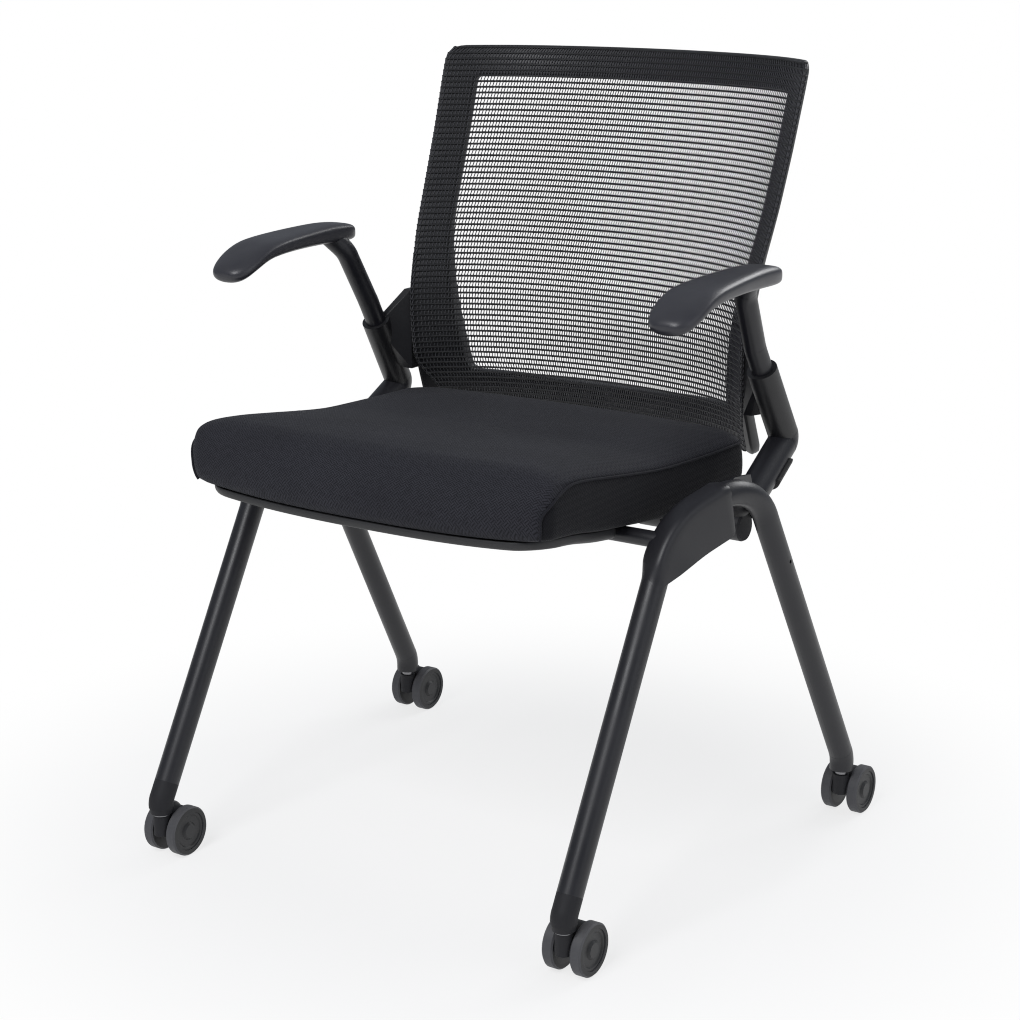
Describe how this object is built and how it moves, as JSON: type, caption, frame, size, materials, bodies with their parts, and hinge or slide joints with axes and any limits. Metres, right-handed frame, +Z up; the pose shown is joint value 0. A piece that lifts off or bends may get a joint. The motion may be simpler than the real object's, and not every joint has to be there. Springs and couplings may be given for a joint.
{
  "type": "nesting chair",
  "caption": "Nesting chair on casters: bent tube frame, tip-up padded seat, curved net back and fixed arms with pads.",
  "frame": {"origin": "on the floor under the middle of the chair's bounding box", "axes": "+Z up, +X to the sitter's left, -Y to the front; the chair is mirror symmetric about the plane X = 0"},
  "size_m": [0.6214, 0.5888, 0.801],
  "materials": {
    "tube_coat": "satin powder coat",
    "cast_coat": "satin powder coat",
    "black_plastic": "satin",
    "pad_plastic": "fine matte grain",
    "back_plastic": "satin",
    "net_fabric": "knitted net",
    "seat_fabric": "fine weave",
    "board_wood": "plywood",
    "pan_plastic": "matte",
    "pad_rubber": "matte",
    "wheel_tyre": "matte",
    "wheel_disc": "matte",
    "screw_steel": "black oxide",
    "bright_steel": "zinc plated"
  },
  "bodies": {
    "frame": {"front_leg_left": "tube_coat", "front_leg_right": "tube_coat", "rail_left": "tube_coat", "rail_right": "tube_coat", "rail_bracket_left": "tube_coat", "rail_bracket_right": "tube_coat", "cross_tube": "tube_coat", "pivot_tube": "tube_coat", "pivot_caps": "black_plastic", "front_foot_left": "black_plastic", "front_foot_right": "black_plastic", "rear_plug_left": "black_plastic", "rear_plug_right": "black_plastic", "upright_left": "tube_coat", "upright_right": "tube_coat", "nesting_bumpers": "pad_rubber", "back_bracket_left": "cast_coat", "back_bracket_right": "cast_coat", "arm_tube_left": "tube_coat", "arm_tube_right": "tube_coat", "arm_pad_left": "pad_plastic", "arm_pad_right": "pad_plastic", "back_frame": "back_plastic", "back_net": "net_fabric", "back_screws": "screw_steel", "caster_stems": "bright_steel"},
    "seat": {"seat_board": "board_wood", "seat_pan": "pan_plastic", "seat_cushion": "seat_fabric", "hinge_left": "cast_coat", "hinge_right": "cast_coat", "rest_pads": "pad_rubber", "seat_screws": "screw_steel"},
    "caster_front_left": {"hood_front_left": "black_plastic", "axle_front_left": "bright_steel"},
    "wheel_front_left_out": {"tyre_front_left_out": "wheel_tyre", "disc_front_left_out": "wheel_disc"},
    "wheel_front_left_in": {"tyre_front_left_in": "wheel_tyre", "disc_front_left_in": "wheel_disc"},
    "caster_front_right": {"hood_front_right": "black_plastic", "axle_front_right": "bright_steel"},
    "wheel_front_right_out": {"tyre_front_right_out": "wheel_tyre", "disc_front_right_out": "wheel_disc"},
    "wheel_front_right_in": {"tyre_front_right_in": "wheel_tyre", "disc_front_right_in": "wheel_disc"},
    "caster_rear_left": {"hood_rear_left": "black_plastic", "axle_rear_left": "bright_steel"},
    "wheel_rear_left_out": {"tyre_rear_left_out": "wheel_tyre", "disc_rear_left_out": "wheel_disc"},
    "wheel_rear_left_in": {"tyre_rear_left_in": "wheel_tyre", "disc_rear_left_in": "wheel_disc"},
    "caster_rear_right": {"hood_rear_right": "black_plastic", "axle_rear_right": "bright_steel"},
    "wheel_rear_right_out": {"tyre_rear_right_out": "wheel_tyre", "disc_rear_right_out": "wheel_disc"},
    "wheel_rear_right_in": {"tyre_rear_right_in": "wheel_tyre", "disc_rear_right_in": "wheel_disc"}
  },
  "joints": [
    {"name": "seat_flip", "type": "hinge", "parent": "frame", "child": "seat", "pos_m": [0, 0.03905, 0.358], "axis": [-1, 0, 0], "range_deg": [0, 75]},
    {"name": "swivel_front_left", "type": "hinge", "parent": "frame", "child": "caster_front_left", "pos_m": [0.2456, -0.28235, 0.04], "axis": [0, 0, 1], "continuous": true},
    {"name": "roll_front_left_out", "type": "hinge", "parent": "caster_front_left", "child": "wheel_front_left_out", "pos_m": [0.2456, -0.26235, 0.026], "axis": [1, 0, 0], "continuous": true},
    {"name": "roll_front_left_in", "type": "hinge", "parent": "caster_front_left", "child": "wheel_front_left_in", "pos_m": [0.2456, -0.26235, 0.026], "axis": [1, 0, 0], "continuous": true},
    {"name": "swivel_front_right", "type": "hinge", "parent": "frame", "child": "caster_front_right", "pos_m": [-0.2456, -0.28235, 0.04], "axis": [0, 0, 1], "continuous": true},
    {"name": "roll_front_right_out", "type": "hinge", "parent": "caster_front_right", "child": "wheel_front_right_out", "pos_m": [-0.2456, -0.26235, 0.026], "axis": [1, 0, 0], "continuous": true},
    {"name": "roll_front_right_in", "type": "hinge", "parent": "caster_front_right", "child": "wheel_front_right_in", "pos_m": [-0.2456, -0.26235, 0.026], "axis": [1, 0, 0], "continuous": true},
    {"name": "swivel_rear_left", "type": "hinge", "parent": "frame", "child": "caster_rear_left", "pos_m": [0.2896, 0.20825, 0.04], "axis": [0, 0, 1], "continuous": true},
    {"name": "roll_rear_left_out", "type": "hinge", "parent": "caster_rear_left", "child": "wheel_rear_left_out", "pos_m": [0.2896, 0.22825, 0.026], "axis": [1, 0, 0], "continuous": true},
    {"name": "roll_rear_left_in", "type": "hinge", "parent": "caster_rear_left", "child": "wheel_rear_left_in", "pos_m": [0.2896, 0.22825, 0.026], "axis": [1, 0, 0], "continuous": true},
    {"name": "swivel_rear_right", "type": "hinge", "parent": "frame", "child": "caster_rear_right", "pos_m": [-0.2896, 0.20825, 0.04], "axis": [0, 0, 1], "continuous": true},
    {"name": "roll_rear_right_out", "type": "hinge", "parent": "caster_rear_right", "child": "wheel_rear_right_out", "pos_m": [-0.2896, 0.22825, 0.026], "axis": [1, 0, 0], "continuous": true},
    {"name": "roll_rear_right_in", "type": "hinge", "parent": "caster_rear_right", "child": "wheel_rear_right_in", "pos_m": [-0.2896, 0.22825, 0.026], "axis": [1, 0, 0], "continuous": true}
  ]
}
